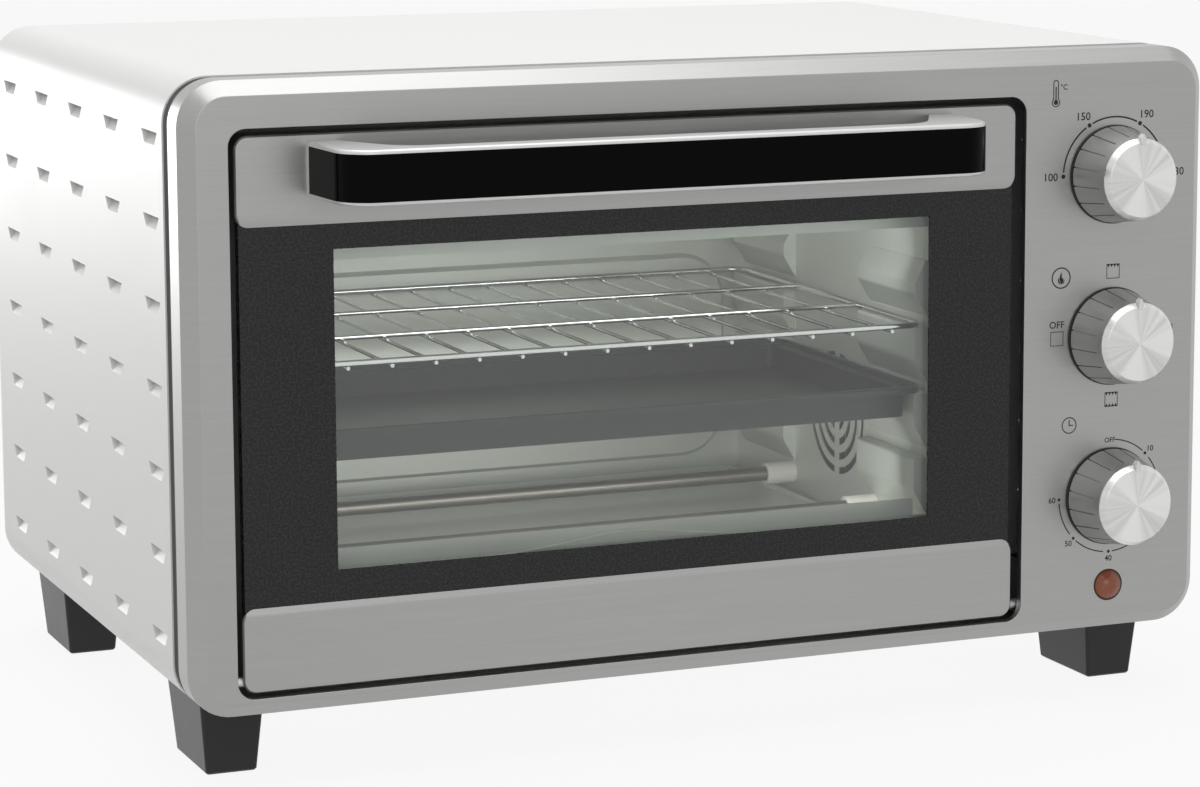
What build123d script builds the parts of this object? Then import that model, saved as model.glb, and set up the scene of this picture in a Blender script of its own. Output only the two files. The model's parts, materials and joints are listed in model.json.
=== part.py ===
from build123d import *
import os
from math import atan2, degrees

# A countertop mini oven with a bottom-hinged glass door, in millimetres.
# X runs left to right, Y from the front to the back, Z up from the worktop.
# Depths are measured from the bezel's front face; the last step centres them on the origin.

os.makedirs("parts", exist_ok=True)

# Casing
body_width = 450.0
body_height = 250.0
body_depth = 317.0
foot_height = 30.0
corner_radius = 18.0
shell_wall = 0.7
shell_front = 27.5
shell_under = 36.0
slip_fit = 0.05
running_gap = 0.3

# Bezel and the shadow gap behind it
bezel_depth = 19.5
bezel_wall = 1.5
bezel_bevel = 5.8
bezel_bevel_depth = 6.6
opening_rim = 18.5
panel_width = 87.0
opening_lip = 7.8
opening_radius = 7.0
opening_return = 4.0

# Inner front frame
frame_wall = 1.0
frame_inset = 1.8
frame_plate_depth = 24.8
frame_flange_end = 33.0
control_window_width = 62.0
control_window_inset = 12.0

# Pressed louvres in both sides
louvre_length = 23.0
louvre_height = 5.2
louvre_press = 3.0
louvre_slope = 4.0
louvre_taper = 4.5
louvre_end_draw = 30.0
louvre_rows = 7
louvre_columns = 5
louvre_row_pitch = 33.25
louvre_top_drop = 24.8
louvre_front_inset = 18.5
louvre_back_inset = 35.0

# Feet
foot_length = 44.0
foot_width = 21.0
foot_splay = 2.7
foot_side_inset = 14.3
foot_front_inset = 33.5
foot_back_inset = 17.5
foot_edge = 1.5
foot_seat = 8.0
screw_radius = 2.0
screw_head_radius = 3.6
screw_head_height = 2.2
screw_recess = 5.0

# Door
door_set_back = 3.0
door_side_gap = 3.05
door_foot_gap = 1.35
door_thickness = 11.0
trim_sheet = 1.2
trim_radius = 5.5
top_trim_height = 35.6
bottom_trim_height = 33.8
trim_bevel = 1.4
trim_glass_bevel = 2.9
border_thickness = 0.6
window_top_margin = 45.6
window_bottom_margin = 46.5
window_side_margin = 39.6
glass_thickness = 4.0
glass_tuck = 18.0
glass_play = 0.2
clamp_height = 15.0
clamp_sheet = 1.2

# Hinge
hinge_rise = 4.35
hinge_set_back = 4.0
pin_radius = 2.5
pin_fit = 0.06
hinge_plate = 2.0
hinge_stand_off = 3.5
arm_height = 12.0
arm_leaf = 30.0
bracket_nose = 4.0
bracket_below = 5.0
bracket_above = 18.0
bracket_leaf = 6.0
spring_wire = 0.6
spring_coil = 3.6
spring_turns = 3
spring_length = 5.0
spring_leg = 10.0

# Handle
handle_reach = 38.5
handle_height = 21.6
handle_drop = 3.0
handle_end_inset = 29.0
handle_slant = 2.5
handle_bar = 10.0
handle_leg = 11.5
handle_bend = 14.0
handle_gap_slant = 17.0
handle_gap_bend = 18.0
inlay_height = 18.4
inlay_thickness = 1.5
inlay_foot = 1.5
inlay_stop = 2.0
handle_edge = 1.6
handle_screw_bore = 12.0
handle_screw_reach = 10.0

# Cavity
cavity_side_margin = 34.25
cavity_floor_height = 38.0
cavity_height = 158.0
cavity_front = 24.0
cavity_back = 222.0
cavity_sheet = 0.7
cavity_flange = 14.0
upper_lip_drop = 20.0
lower_lip_rise = 22.0
crumb_slot = 7.0
back_panel_press = 3.0
back_panel_margin = 8.0
back_panel_radius = 22.0
back_panel_top_drop = 54.0

# Pressed rails in the side walls
rail_press = 6.0
rail_height = 23.9
rail_pitch = 28.2
rail_count = 4
first_rail_drop = 34.6
rail_flat = 14.0
rail_edge = 1.0
rail_shelf_curve = 1.2
rail_foot_curve = 6.0
top_rail_curve = 3.0
top_rail_slope = 9.0
rail_front_length = 56.0
rail_back_length = 56.0
rail_back_start = 157.0

# Convection fan
vent_depth = 113.0
vent_height = 112.0
vent_ring_pitch = 6.5
vent_ring_count = 4
vent_slot = 3.0
vent_bar = 4.0
fan_housing_radius = 34.0
fan_housing_depth = 17.0
fan_wheel_radius = 27.0
fan_wheel_width = 11.0
fan_blades = 8
fan_shaft_radius = 2.5
fan_shaft_fit = 0.06
motor_radius = 20.0
motor_length = 27.0

# Heating rods
rod_radius = 3.2
rod_front_depth = 75.0
rod_back_depth = 160.0
lower_rod_rise = 9.0
upper_rod_drop = 14.0
insulator_radius = 5.0
insulator_inside = 14.0
insulator_outside = 10.0
rod_tail = 6.0

# Wire rack
rack_wire = 1.3
rack_rod = 0.8
rack_cross_bar = 1.0
rack_rod_pitch = 18.4
rack_rod_count = 14
rack_front = 20.0
rack_back = 212.0
rack_corner = 8.0
rack_side_play = 2.1
weld_bite = 0.25

# Baking tray
tray_front = 22.0
tray_back = 170.0
tray_depth = 10.5
tray_sheet = 0.8
tray_side_play = 1.0
tray_rim = 7.5
tray_bead = 3.0
tray_corner = 12.0
tray_pan_corner = 3.0

# Crumb tray
crumb_sheet = 0.6
crumb_front = 21.5
crumb_back = 214.0
crumb_side_play = 8.0
crumb_rim = 2.4
crumb_front_height = 14.0
crumb_hump_height = 5.5
crumb_hump_width = 120.0

# Controls
knob_inset = 44.8
knob_pitch = 69.25
timer_knob_height = 88.6
knob_radius = 20.6
knob_top_radius = 17.4
knob_length = 20.0
knob_lift = 1.6
knob_wall = 2.4
knob_grooves = 16
knob_groove = 0.6
knob_plain_lip = 3.0
knob_hub = 6.0
face_thickness = 3.0
face_bevel = 1.85
face_bevel_depth = 2.5
pointer_width = 2.3
pointer_length = 4.6
pointer_tip = 1.7
pointer_stand = 1.9
pointer_proud = 0.4
washer_thickness = 1.2
washer_radius = 21.0
shaft_radius = 3.0
shaft_fit = 0.05
shaft_flat = 2.0
shaft_hole = 5.0
shaft_in_knob = 14.0
shaft_in_body = 11.0
thermostat_radius = 14.0
thermostat_length = 26.0
switch_side = 30.0
switch_length = 28.0
timer_side = 44.0
timer_length = 34.0
bell_radius = 19.0
bell_depth = 9.0
lamp_height = 49.65
lamp_radius = 6.3
lamp_dome = 4.0
lamp_stem = 4.2
lamp_hole = 4.4
lamp_body_radius = 5.5
lamp_body_length = 26.0

# Back and base
back_inset = 3.0
vent_slot_length = 34.0
vent_slot_width = 4.0
back_vent_pitch = 12.0
back_vent_count = 9
back_vent_gap = 16.0
back_vent_drop = 50.0
back_panel_flange = 10.0
base_vent_count = 6
base_vent_pitch = 26.0
base_vent_spread = 70.0
screw_inset = 26.0
screw_edge = 14.0
screw_length = 12.0
gland_radius = 7.0
gland_flange = 10.5
gland_bore = 3.6
gland_inset = 52.0
gland_rise = 34.0
shield_offset = 22.0
shield_sheet = 0.6
terminal_size = (36.0, 14.0, 16.0)
terminal_side_inset = 60.0
terminal_back_inset = 76.0
terminal_pitch = 11.0
terminal_screw_radius = 3.0

left = -body_width / 2
right = body_width / 2
bottom = foot_height
top = bottom + body_height
open_left = left + opening_rim
open_right = right - panel_width
open_bottom = bottom + opening_lip
open_top = top - opening_rim
open_centre = (open_left + open_right) / 2

door_left = open_left + door_side_gap
door_right = open_right - door_side_gap
door_bottom = open_bottom + door_foot_gap
door_top = open_top - door_side_gap
door_back = door_set_back + door_thickness
sheet_back = door_set_back + trim_sheet
glass_front = sheet_back + border_thickness
glass_back = glass_front + glass_thickness
glass_low = door_bottom + bottom_trim_height - glass_tuck
glass_high = door_top - top_trim_height + glass_tuck

hinge_depth = door_set_back + hinge_set_back
hinge_height = door_bottom + hinge_rise

cavity_left = open_left + cavity_side_margin
cavity_right = open_right - cavity_side_margin
cavity_floor_level = bottom + cavity_floor_height
cavity_top = cavity_floor_level + cavity_height
first_shelf = cavity_top - first_rail_drop

knob_x = right - knob_inset
knob_heights = {
    "temperature": timer_knob_height + 2 * knob_pitch,
    "mode": timer_knob_height + knob_pitch,
    "timer": timer_knob_height,
}


# Shapes that many pieces share

def block(x, y, z):
    size = [span[1] - span[0] for span in (x, y, z)]
    centre = [(span[0] + span[1]) / 2 for span in (x, y, z)]
    return Pos(*centre) * Box(*size)


def rounded_block(x, y, z, radius):
    slab = block(x, y, z)
    return fillet(slab.edges().filter_by(Axis.Y), radius)


def grown(span, amount):
    return (span[0] - amount, span[1] + amount)


def rod_along_x(radius, x, depth, height):
    return Pos(x[0], depth, height) * Rot(0, 90, 0) * Cylinder(
        radius, x[1] - x[0], align=(Align.CENTER, Align.CENTER, Align.MIN))


def rod_along_y(radius, x, y, height):
    return Pos(x, y[0], height) * Rot(-90, 0, 0) * Cylinder(
        radius, y[1] - y[0], align=(Align.CENTER, Align.CENTER, Align.MIN))


def rod_along_z(radius, x, depth, z):
    return Pos(x, depth, z[0]) * Cylinder(
        radius, z[1] - z[0], align=(Align.CENTER, Align.CENTER, Align.MIN))


def body_ring(inset, wall, y):
    outer = rounded_block(
        (left + inset, right - inset), y, (bottom + inset, top - inset), corner_radius - inset)
    inner_inset = inset + wall
    inner = rounded_block(
        (left + inner_inset, right - inner_inset), grown(y, 1),
        (bottom + inner_inset, top - inner_inset), corner_radius - inner_inset)
    return outer - inner


def across_door(shape):
    return mirror(shape, about=Plane.YZ.offset(open_centre))


def pair(shape):
    return Compound(children=[*shape.solids(), *across_door(shape).solids()])


# Casing

def make_louvre_tools():
    lead = shell_wall + running_gap
    fall = lead * louvre_slope / louvre_press
    scoop_profile = Polyline(
        (-lead, -fall), (louvre_press, louvre_slope), (louvre_press, louvre_height),
        (-lead, louvre_height), close=True)
    flap_profile = Polyline(
        (0, 0), (shell_wall, 0), (shell_wall + louvre_press, louvre_slope),
        (shell_wall + louvre_press, louvre_height), (0, louvre_height), close=True)
    scoop = extrude(Plane.XZ * make_face(scoop_profile), louvre_length, both=True)
    flap = extrude(Plane.XZ * make_face(flap_profile), louvre_length, both=True)
    draw = louvre_taper / louvre_height
    low, high = -louvre_height / 2, 1.5 * louvre_height
    middle = louvre_length / 2 - louvre_taper + lead
    tapered = Polyline(
        (middle + draw * high, high), (-middle - draw * high, high),
        (-middle - draw * low, low), (middle + draw * low, low), close=True)
    outline = Pos(-lead, 0, 0) * extrude(
        Plane.YZ * make_face(tapered), lead + louvre_press + shell_wall + 1, dir=(1, 0, 0),
        taper=louvre_end_draw)
    return flap & (Pos(shell_wall, 0, 0) * outline), scoop & outline


def make_outer_shell():
    shell = body_ring(0, shell_wall, (shell_front, body_depth))
    gap = (left + shell_under, right - shell_under)
    shell -= block(gap, (shell_front - 1, body_depth + 1), (bottom - 1, bottom + shell_wall + 1))
    pressing, hollow = make_louvre_tools()
    spots = []
    column_pitch = (body_depth - louvre_back_inset - shell_front - louvre_front_inset) / (louvre_columns - 1)
    for row in range(louvre_rows):
        for column in range(louvre_columns):
            depth = body_depth - louvre_back_inset - column * column_pitch
            height = top - louvre_top_drop - row * louvre_row_pitch - louvre_height / 2
            spots.append(Pos(left, depth, height))
    left_side = [spot * pressing for spot in spots]
    left_cuts = [spot * hollow for spot in spots]
    right_side = [mirror(piece, about=Plane.YZ) for piece in left_side]
    right_cuts = [mirror(piece, about=Plane.YZ) for piece in left_cuts]
    return shell + left_side + right_side - left_cuts - right_cuts


def make_front_bezel():
    depth = (0, bezel_depth)
    outer = rounded_block((left, right), depth, (bottom, top), corner_radius)
    front = outer.faces().sort_by(Axis.Y)[0]
    outer = chamfer(front.edges(), bezel_bevel, bezel_bevel_depth, reference=front)
    inner = rounded_block(
        (left + bezel_wall, right - bezel_wall), (bezel_wall, bezel_depth + 1),
        (bottom + bezel_wall, top - bezel_wall), corner_radius - bezel_wall)
    inner_front = inner.faces().sort_by(Axis.Y)[0]
    inner = chamfer(inner_front.edges(), bezel_bevel, bezel_bevel_depth, reference=inner_front)
    bezel = outer - inner
    lip = rounded_block(
        grown((open_left, open_right), bezel_wall), (0, opening_return),
        grown((open_bottom, open_top), bezel_wall), opening_radius + bezel_wall)
    bezel += lip
    bezel -= rounded_block(
        (open_left, open_right), (-1, opening_return + 1), (open_bottom, open_top), opening_radius)
    for height in knob_heights.values():
        bezel -= rod_along_y(shaft_hole, knob_x, (-1, bezel_depth), height)
    return bezel - rod_along_y(lamp_hole, knob_x, (-1, bezel_depth), lamp_height)


def make_front_frame():
    shadow = body_ring(frame_inset, frame_wall, (bezel_depth - 1.5, shell_front + running_gap))
    sleeve_inset = shell_wall + slip_fit
    sleeve = body_ring(sleeve_inset, frame_wall + frame_inset - sleeve_inset,
                       (shell_front + running_gap, frame_flange_end))
    plate_inset = frame_inset + frame_wall / 2
    plate = rounded_block(
        (left + plate_inset, right - plate_inset), (frame_plate_depth, frame_plate_depth + frame_wall),
        (bottom + plate_inset, top - plate_inset), corner_radius - plate_inset)
    hole = cavity_sheet + slip_fit
    plate -= block(
        grown((cavity_left, cavity_right), hole), (0, body_depth),
        grown((cavity_floor_level, cavity_top), hole))
    window_centre = knob_x
    plate -= block(
        (window_centre - control_window_width / 2, window_centre + control_window_width / 2),
        (0, body_depth), (bottom + control_window_inset, top - control_window_inset))
    return shadow + sleeve + plate


def make_back_panel():
    depth = (body_depth - back_inset - shell_wall, body_depth - back_inset)
    inset = shell_wall + slip_fit
    plate = rounded_block(
        (left + inset, right - inset), depth, (bottom + inset, top - inset), corner_radius - inset)
    plate += body_ring(inset, shell_wall, (depth[0] - back_panel_flange, depth[1]))
    for column in (-1, 0, 1):
        for row in range(back_vent_count):
            x = open_centre + column * (vent_slot_length + back_vent_gap)
            z = top - back_vent_drop - row * back_vent_pitch
            plate -= block(
                (x - vent_slot_length / 2, x + vent_slot_length / 2), grown(depth, 1),
                (z - vent_slot_width / 2, z + vent_slot_width / 2))
    for x, z in screw_places():
        plate -= rod_along_y(screw_radius + slip_fit, x, grown(depth, 1), z)
    return plate - rod_along_y(gland_radius, right - gland_inset, grown(depth, 1), bottom + gland_rise)


def screw_places():
    reach_x = body_width / 2 - screw_inset
    return [(x, z) for x in (-reach_x, 0, reach_x) for z in (bottom + screw_edge, top - screw_edge)]


def make_casing_screws():
    face = body_depth - back_inset
    screws = []
    for x, z in screw_places():
        head = rod_along_y(screw_head_radius, x, (face, face + screw_head_height), z)
        screws.append(head + rod_along_y(screw_radius, x, (face - screw_length, face), z))
    return Compound(children=screws)


def make_base_plate():
    z = (bottom + shell_wall + slip_fit, bottom + 2 * shell_wall + slip_fit)
    reach = body_width / 2 - corner_radius - 2
    plate = block((-reach, reach), (frame_flange_end, body_depth - back_inset - 12), z)
    for column in (-1, 1):
        for row in range(base_vent_count):
            x = column * base_vent_spread
            y = body_depth / 2 + (row - (base_vent_count - 1) / 2) * base_vent_pitch
            plate -= block(
                (x - vent_slot_length, x + vent_slot_length),
                (y - vent_slot_width / 2, y + vent_slot_width / 2), grown(z, 1))
    return plate


def foot_spot(side, at_front):
    x = side * (body_width / 2 - foot_side_inset - foot_width / 2)
    if at_front:
        return x, foot_front_inset + foot_length / 2
    return x, body_depth - foot_back_inset - foot_length / 2


def make_foot(side, at_front):
    x, y = foot_spot(side, at_front)
    spread = foot_splay * (foot_height + foot_seat) / foot_height
    low = Pos(x, y, 0) * Rectangle(foot_width, foot_length)
    high = Pos(x, y, foot_height + foot_seat) * Rectangle(foot_width + 2 * spread, foot_length + 2 * spread)
    foot = loft([low, high])
    foot = fillet(foot.edges().filter_by(lambda edge: edge.length > foot_height * 0.9 and
                                         abs((edge @ 0).Z - (edge @ 1).Z) > foot_height * 0.9), foot_edge)
    foot = chamfer(foot.faces().sort_by(Axis.Z)[0].edges(), foot_edge / 2)
    foot -= rounded_block((left, right), (0, body_depth), (bottom, top), corner_radius)
    foot -= rod_along_z(screw_head_radius + 0.6, x, y, (-1, screw_recess))
    return foot - rod_along_z(screw_radius + slip_fit, x, y, (-1, foot_height + 1))


def make_foot_screws():
    screws = []
    for side in (-1, 1):
        for at_front in (True, False):
            x, y = foot_spot(side, at_front)
            head = rod_along_z(screw_head_radius, x, y, (screw_recess - screw_head_height, screw_recess))
            screws.append(head + rod_along_z(screw_radius, x, y, (screw_recess, foot_height)))
    return Compound(children=screws)


# Door

def make_door_trim(z, glass_side):
    x = (door_left, door_right)
    depth = (door_set_back, door_back)
    outer = rounded_block(x, depth, z, trim_radius)
    front = outer.faces().sort_by(Axis.Y)[0]
    outer = chamfer(front.edges(), trim_bevel / 2)
    inner = rounded_block(
        grown(x, -trim_sheet), (sheet_back, door_back + 1), grown(z, -trim_sheet),
        trim_radius - trim_sheet)
    if glass_side == "below":
        edge, inward = z
    else:
        inward, edge = z
    mouth = sorted((edge, edge + (trim_radius if edge < inward else -trim_radius)))
    trim = outer - inner - block(grown(x, -trim_sheet), (sheet_back, door_back + 1), grown(mouth, 1))
    turn = trim_glass_bevel if edge < inward else -trim_glass_bevel
    fold = Polyline(
        (door_set_back - 1, edge + turn), (door_set_back, edge + turn),
        (sheet_back - 0.2, edge), (sheet_back - 0.2, edge - turn), (door_set_back - 1, edge - turn), close=True)
    return trim - extrude(Plane.YZ * make_face(fold), body_width, both=True)


def make_door_top_trim():
    trim = make_door_trim((door_top - top_trim_height, door_top), "below")
    for x in handle_feet():
        trim -= rod_along_y(screw_radius + slip_fit, x, (0, door_back), handle_middle())
    return trim


def make_door_bottom_trim():
    trim = make_door_trim((door_bottom, door_bottom + bottom_trim_height), "above")
    return trim - rod_along_x(
        pin_radius + pin_fit, (door_left - 1, door_right + 1), hinge_depth, hinge_height)


def make_door_glass():
    x = grown((door_left, door_right), -trim_sheet - glass_play)
    glass = rounded_block(x, (glass_front, glass_back), (glass_low, glass_high), 3)
    for place in handle_feet():
        glass -= rod_along_y(screw_radius + 1, place, (0, door_back), handle_middle())
    return glass


def make_glass_border():
    x = grown((door_left, door_right), -trim_sheet - glass_play)
    border = rounded_block(x, (sheet_back, glass_front), (glass_low, glass_high), 3)
    border -= block(
        grown((door_left, door_right), -window_side_margin), (0, door_back),
        (door_bottom + window_bottom_margin, door_top - window_top_margin))
    for place in handle_feet():
        border -= rod_along_y(screw_radius + 1, place, (0, door_back), handle_middle())
    return border


def make_glass_clamps():
    x = grown((door_left, door_right), -trim_sheet - glass_play - 4)
    depth = (glass_back, glass_back + clamp_sheet)
    low = block(x, depth, (glass_low + 1, glass_low + 1 + clamp_height))
    high = block(x, depth, (glass_high - 1 - clamp_height, glass_high - 1))
    for place in handle_feet():
        high -= rod_along_y(screw_radius + slip_fit, place, (0, door_back), handle_middle())
    return Compound(children=[low, high])


def handle_feet():
    inset = handle_end_inset + handle_leg / 2 + 3
    return door_left + inset, door_right - inset


def handle_middle():
    return door_top - handle_drop - handle_height / 2


def handle_outline(inset):
    far_left = door_left + handle_end_inset + inset
    far_right = door_right - handle_end_inset - inset
    front = -handle_reach + inset
    face = make_face(Polyline(
        (far_left, door_set_back), (far_left + handle_slant, front),
        (far_right - handle_slant, front), (far_right, door_set_back), close=True))
    bends = face.vertices().filter_by(lambda v: abs(v.Y - front) < 0.01)
    return fillet(bends, handle_bend - inset)


def handle_gap():
    far_left = door_left + handle_end_inset + handle_leg
    far_right = door_right - handle_end_inset - handle_leg
    front = -handle_reach + handle_bar
    face = make_face(Polyline(
        (far_left, door_set_back + 1), (far_left + handle_gap_slant, front),
        (far_right - handle_gap_slant, front), (far_right, door_set_back + 1), close=True))
    return fillet(face.vertices().filter_by(lambda v: abs(v.Y - front) < 0.01), handle_gap_bend)


def make_handle_parts():
    low = door_top - handle_drop - handle_height
    outline = handle_outline(0)
    bar = Pos(0, 0, low) * extrude(outline, handle_height)
    edges = bar.edges().filter_by(lambda e: (e @ 0.5).Y < door_set_back - 0.5 and
                                  abs((e @ 0).Z - (e @ 1).Z) < 0.01)
    bar = fillet(edges, handle_edge)
    bar -= Pos(0, 0, low - 1) * extrude(handle_gap(), handle_height + 2)
    band_low = low + inlay_foot
    outer = Pos(0, 0, band_low) * extrude(outline, inlay_height)
    inner = Pos(0, 0, band_low) * extrude(handle_outline(inlay_thickness), inlay_height)
    reach = block(
        (left, right), (-handle_reach - 1, door_set_back - inlay_stop), (bottom, top))
    inlay = (outer - inner) & reach
    inlay = max(inlay.solids(), key=lambda solid: solid.volume)
    handle = bar - inlay
    for x in handle_feet():
        handle -= rod_along_y(screw_radius + slip_fit, x,
                              (door_set_back - handle_screw_bore, door_set_back + 1), handle_middle())
    return handle, inlay


def make_handle_screws():
    seat = glass_back + clamp_sheet
    screws = []
    for x in handle_feet():
        head = rod_along_y(screw_head_radius, x, (seat, seat + screw_head_height), handle_middle())
        screws.append(head + rod_along_y(
            screw_radius, x, (door_set_back - handle_screw_reach, seat), handle_middle()))
    return Compound(children=screws)


def make_hinge_arms():
    outer = door_left + trim_sheet
    depth = (sheet_back, door_back - 0.4)
    low = door_bottom + trim_sheet
    ear = block((outer, outer + hinge_plate), depth, (low, low + arm_height))
    leaf = block(
        (outer, outer + arm_leaf), (depth[1] - trim_sheet, depth[1]), (low, low + 2 * arm_height))
    bore = rod_along_x(pin_radius + slip_fit, (outer - 1, outer + 5), hinge_depth, hinge_height)
    inside = rounded_block(
        grown((door_left, door_right), -trim_sheet), (0, body_depth), grown((door_bottom, top), -trim_sheet),
        trim_radius - trim_sheet + running_gap)
    return pair((ear + leaf - bore) & inside)


def bracket_outer():
    return open_left - hinge_stand_off


def make_hinge_pins():
    pin = rod_along_x(
        pin_radius, (bracket_outer() - hinge_plate - spring_length - 1.5, door_left + 10),
        hinge_depth, hinge_height)
    return pair(pin)


def make_hinge_brackets():
    plate_x = (bracket_outer() - hinge_plate, bracket_outer())
    depth = (hinge_depth - bracket_nose, frame_plate_depth)
    z = (hinge_height - bracket_below, hinge_height + bracket_above)
    ear = block(plate_x, depth, z)
    leaf = block(
        (plate_x[0] - bracket_leaf, plate_x[1]), (frame_plate_depth - trim_sheet, frame_plate_depth), z)
    bore = rod_along_x(
        pin_radius + pin_fit, grown(plate_x, 1), hinge_depth, hinge_height)
    return pair(ear + leaf - bore)


def make_door_springs():
    high = bracket_outer() - hinge_plate - spring_wire - slip_fit
    pitch = (spring_length - 2 * spring_wire) / spring_turns
    path = Helix(pitch, pitch * spring_turns, spring_coil)
    wire = Plane(origin=path @ 0, z_dir=path % 0) * Circle(spring_wire)
    coil = sweep(wire, path=path, is_frenet=True)
    spring = Pos(high, hinge_depth, hinge_height) * Rot(0, -90, 0) * coil
    leg = rod_along_y(
        spring_wire, high, (hinge_depth, hinge_depth + spring_leg), hinge_height + spring_coil)
    return pair(spring + leg)


# Cavity

def rail_outline(shelf, base):
    crest = cavity_right - rail_press
    foot = [(crest, shelf - rail_flat), (base, shelf - rail_height)]
    if shelf == first_shelf:
        slope = [(base, shelf), (cavity_right - rail_edge, shelf), (crest, shelf - top_rail_slope)]
        outline = make_face(Polyline(*slope, *foot, close=True))
        bends = outline.vertices().filter_by(lambda v: abs(v.X - crest) < 0.01)
        return Plane.XZ * fillet(bends, top_rail_curve)
    outline = make_face(Polyline((base, shelf), (crest, shelf), *foot, close=True))
    bends = outline.vertices().filter_by(lambda v: abs(v.X - crest) < 0.01).sort_by(Axis.Y)
    outline = fillet(bends[0], rail_foot_curve)
    shelf_edge = outline.vertices().sort_by(lambda v: abs(v.X - crest) + abs(v.Y - shelf))[0]
    return Plane.XZ * fillet(shelf_edge, rail_shelf_curve)


def rail(shelf, y):
    length = y[1] - y[0]
    outer = Pos(0, y[1], 0) * extrude(rail_outline(shelf, cavity_right), length)
    inset_face = offset(rail_outline(shelf, cavity_right + 3 * cavity_sheet), -cavity_sheet)
    inner = Pos(0, y[1] - cavity_sheet, 0) * extrude(inset_face, length - 2 * cavity_sheet)
    return outer, inner


def side_wall():
    x = (cavity_right, cavity_right + cavity_sheet)
    y = (cavity_front, cavity_back)
    z = (cavity_floor_level, cavity_top)
    wall = block(x, y, z)
    wall += block((cavity_right, cavity_right + cavity_flange), (y[0], y[0] + cavity_sheet), z)
    front_run = (y[0], y[0] + rail_front_length)
    back_run = (rail_back_start, min(rail_back_start + rail_back_length, cavity_back - 1))
    rails = []
    for level in range(rail_count):
        shelf = first_shelf - level * rail_pitch
        rails += [rail(shelf, front_run), rail(shelf, back_run)]
    wall = wall + [outer for outer, inner in rails] - [inner for outer, inner in rails]
    for depth in (rod_front_depth, rod_back_depth):
        for height in rod_heights():
            wall -= rod_along_x(
                insulator_radius + slip_fit, (cavity_right - 10, cavity_right + 5), depth, height)
    return wall


def rod_heights():
    return cavity_floor_level + lower_rod_rise, cavity_top - upper_rod_drop


def make_left_wall():
    return across_door(side_wall())


def make_right_wall():
    wall = side_wall()
    x = (cavity_right - 1, cavity_right + cavity_sheet + 1)
    slots = rod_along_x(vent_slot, x, vent_depth, vent_height)
    for ring in range(1, vent_ring_count + 1):
        middle = ring * vent_ring_pitch
        slots += (rod_along_x(middle + vent_slot / 2, x, vent_depth, vent_height)
                  - rod_along_x(middle - vent_slot / 2, x, vent_depth, vent_height))
    bar = block(x, grown((vent_depth, vent_depth), vent_bar / 2), (0, top))
    return wall - (slots - bar)


def make_back_wall():
    x = grown((cavity_left, cavity_right), cavity_sheet)
    z = grown((cavity_floor_level, cavity_top), cavity_sheet)
    wall = block(x, (cavity_back, cavity_back + cavity_sheet), z)
    panel_x = grown((cavity_left, cavity_right), -back_panel_margin)
    panel_z = (cavity_floor_level + back_panel_margin, cavity_top - back_panel_top_drop)
    raised = rounded_block(
        panel_x, (cavity_back - back_panel_press, cavity_back), panel_z, back_panel_radius)
    raised = chamfer(raised.faces().sort_by(Axis.Y)[0].edges(), back_panel_press * 0.6)
    hollow = rounded_block(
        grown(panel_x, -2 * cavity_sheet), (cavity_back - back_panel_press + cavity_sheet, body_depth),
        grown(panel_z, -2 * cavity_sheet), back_panel_radius - 2 * cavity_sheet)
    return wall + raised - hollow


def make_cavity_roof():
    x = grown((cavity_left, cavity_right), cavity_sheet)
    sheet = block(x, (cavity_front, cavity_back), (cavity_top, cavity_top + cavity_sheet))
    front = (cavity_front, cavity_front + cavity_sheet)
    lip = block((cavity_left, cavity_right), front, (cavity_top - upper_lip_drop, cavity_top))
    flange = block(x, front, (cavity_top, cavity_top + cavity_flange))
    return sheet + lip + flange


def make_cavity_floor():
    x = grown((cavity_left, cavity_right), cavity_sheet)
    sheet = block(x, (cavity_front, cavity_back), (cavity_floor_level - cavity_sheet, cavity_floor_level))
    front = (cavity_front, cavity_front + cavity_sheet)
    lip = block(
        (cavity_left, cavity_right), front, (cavity_floor_level, cavity_floor_level + lower_lip_rise))
    lip -= block(
        grown((cavity_left, cavity_right), running_gap - crumb_side_play), grown(front, 1),
        (cavity_floor_level - 1, cavity_floor_level + crumb_slot))
    lowest_rail = first_shelf - (rail_count - 1) * rail_pitch - rail_height
    middle = block(
        grown((cavity_left, cavity_right), -rail_press - running_gap), grown(front, 1),
        (lowest_rail - 1, cavity_top))
    lip = lip & (middle + block((left, right), grown(front, 1), (bottom, lowest_rail - running_gap)))
    flange = block(x, front, (cavity_floor_level - cavity_flange, cavity_floor_level))
    return sheet + lip + flange


def make_crumb_tray():
    x = grown((cavity_left, cavity_right), -crumb_side_play)
    low = cavity_floor_level + running_gap
    sheet = block(x, (crumb_front, crumb_back), (low, low + crumb_sheet))
    rim_top = low + crumb_sheet + crumb_rim
    rim_start = cavity_front + 4
    ring = (block(x, (rim_start, crumb_back), (low, rim_top))
            - block(grown(x, -crumb_sheet), (rim_start - 1, crumb_back - crumb_sheet), (low - 1, rim_top + 1)))
    front = (crumb_front, crumb_front + crumb_sheet)
    lip_top = low + crumb_front_height
    lip = block(x, front, (low, lip_top))
    half = crumb_hump_width / 2
    crest = lip_top + crumb_hump_height
    hump = Spline(
        (-half, lip_top), (0, crest), (half, lip_top), tangents=[(1, 0), (1, 0)])
    base = Polyline((half, lip_top), (half, lip_top - 2), (-half, lip_top - 2), (-half, lip_top))
    crown = extrude(Plane.XZ * make_face([hump, base]), crumb_sheet)
    return sheet + ring + lip + Pos(open_centre, front[1], 0) * crown


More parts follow.
